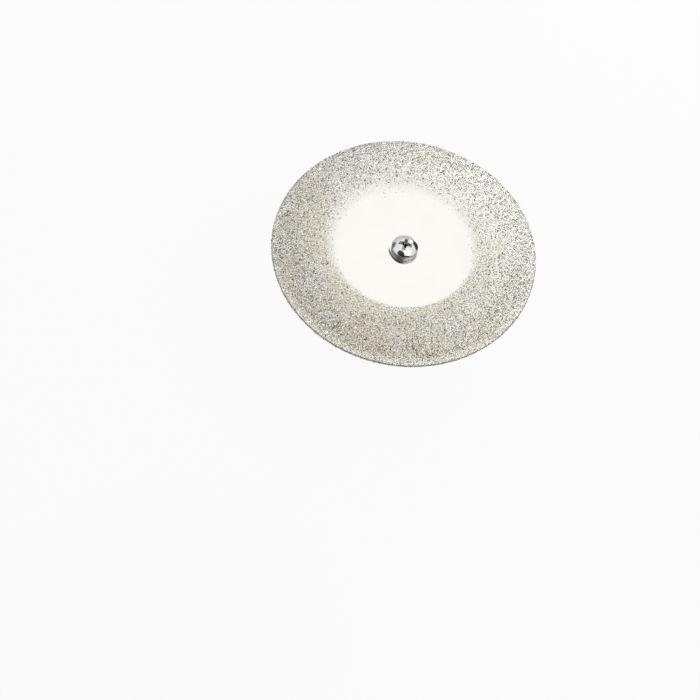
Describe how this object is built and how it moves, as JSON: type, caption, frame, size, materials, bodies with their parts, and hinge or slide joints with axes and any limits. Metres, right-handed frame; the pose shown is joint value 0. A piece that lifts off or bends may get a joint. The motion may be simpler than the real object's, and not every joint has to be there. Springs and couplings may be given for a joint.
{
  "type": "diamond cutting disc",
  "caption": "Thin round cutting disc with a ring of diamond grit round a bare centre, clamped to a small straight mandrel by a domed cross-recess screw.",
  "frame": {"origin": "on the mandrel's axis, at the free end of the shank", "axes": "+Z along the mandrel's axis towards the screw head, so that the shank points down; two opposite wings of the cross recess lie along X and two along Y"},
  "size_m": [0.05, 0.05, 0.0399],
  "materials": {
    "blank_steel": "bright nickel plate, polished, with faint round polishing marks",
    "diamond_grit": "grey sparkling diamond grit bonded in nickel, rough",
    "screw_chrome": "bright polished plate",
    "mandrel_steel": "turned steel, bright plate"
  },
  "bodies": {
    "root": {"steel_blank": "blank_steel", "diamond_coating": "diamond_grit", "clamp_screw": "screw_chrome", "mandrel": "mandrel_steel"}
  },
  "joints": []
}
